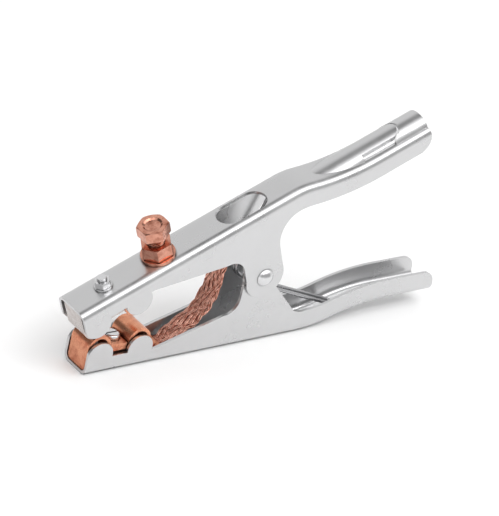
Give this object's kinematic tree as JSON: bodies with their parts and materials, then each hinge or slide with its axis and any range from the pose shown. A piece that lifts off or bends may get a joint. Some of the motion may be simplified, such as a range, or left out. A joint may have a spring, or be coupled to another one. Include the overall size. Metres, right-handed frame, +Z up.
{
  "type": "welding ground clamp",
  "caption": "Spring-loaded welding ground clamp: pressed steel levers on a rivet, copper jaw contacts joined by a woven braid, and a threaded cable terminal on the upper lever.",
  "frame": {"origin": "centre of the closed clamp's footprint, on the surface that the lower lever's flat web stands on", "axes": "+X runs from the jaws to the handles, +Y is across the levers and +Z is up, from the lower lever to the upper one"},
  "size_m": [0.2644, 0.032, 0.132],
  "materials": {
    "zinc_sheet": "bright zinc-plated pressed sheet, smooth with soft reflections",
    "rivet_steel": "zinc-plated steel, satin",
    "spring_steel": "dark oiled spring wire",
    "zinc_fasteners": "bright zinc-plated steel",
    "contact_copper": "bare copper strip, lightly polished",
    "tinned_copper": "tinned copper strip",
    "terminal_copper": "copper-plated, satin",
    "braid": "woven copper wire, matt sheen"
  },
  "bodies": {
    "lower": {"lower_lever": "zinc_sheet", "pivot_rivet": "rivet_steel", "torsion_spring": "spring_steel", "lower_front_contact": "contact_copper", "lower_rear_contact": "contact_copper", "lower_contact_screw": "zinc_fasteners", "lower_braid_lug": "contact_copper", "lower_braid_rivet": "contact_copper", "copper_braid": "braid"},
    "upper": {"upper_lever": "zinc_sheet", "upper_front_contact": "tinned_copper", "upper_rear_contact": "contact_copper", "upper_contact_screw": "zinc_fasteners", "upper_contact_washer": "zinc_fasteners", "upper_contact_nut": "zinc_fasteners", "upper_braid_lug": "contact_copper", "terminal_washer": "terminal_copper", "terminal_nut": "terminal_copper", "terminal_lock_nut": "zinc_fasteners"},
    "terminal": {"terminal_bolt": "terminal_copper"}
  },
  "joints": [
    {"name": "jaw_pivot", "type": "hinge", "parent": "lower", "child": "upper", "pos_m": [-0.00878, 0, 0.045], "axis": [0, 1, 0], "range_deg": [0, 38], "stiffness_Nm_per_rad": 3.2, "springref_deg": -42.97, "deforming": ["torsion_spring", "copper_braid"]},
    {"name": "terminal_travel", "type": "slide", "parent": "upper", "child": "terminal", "axis": [-0.3921, 0, 0.9199], "range_m": [-0.0055, 0.003]}
  ]
}
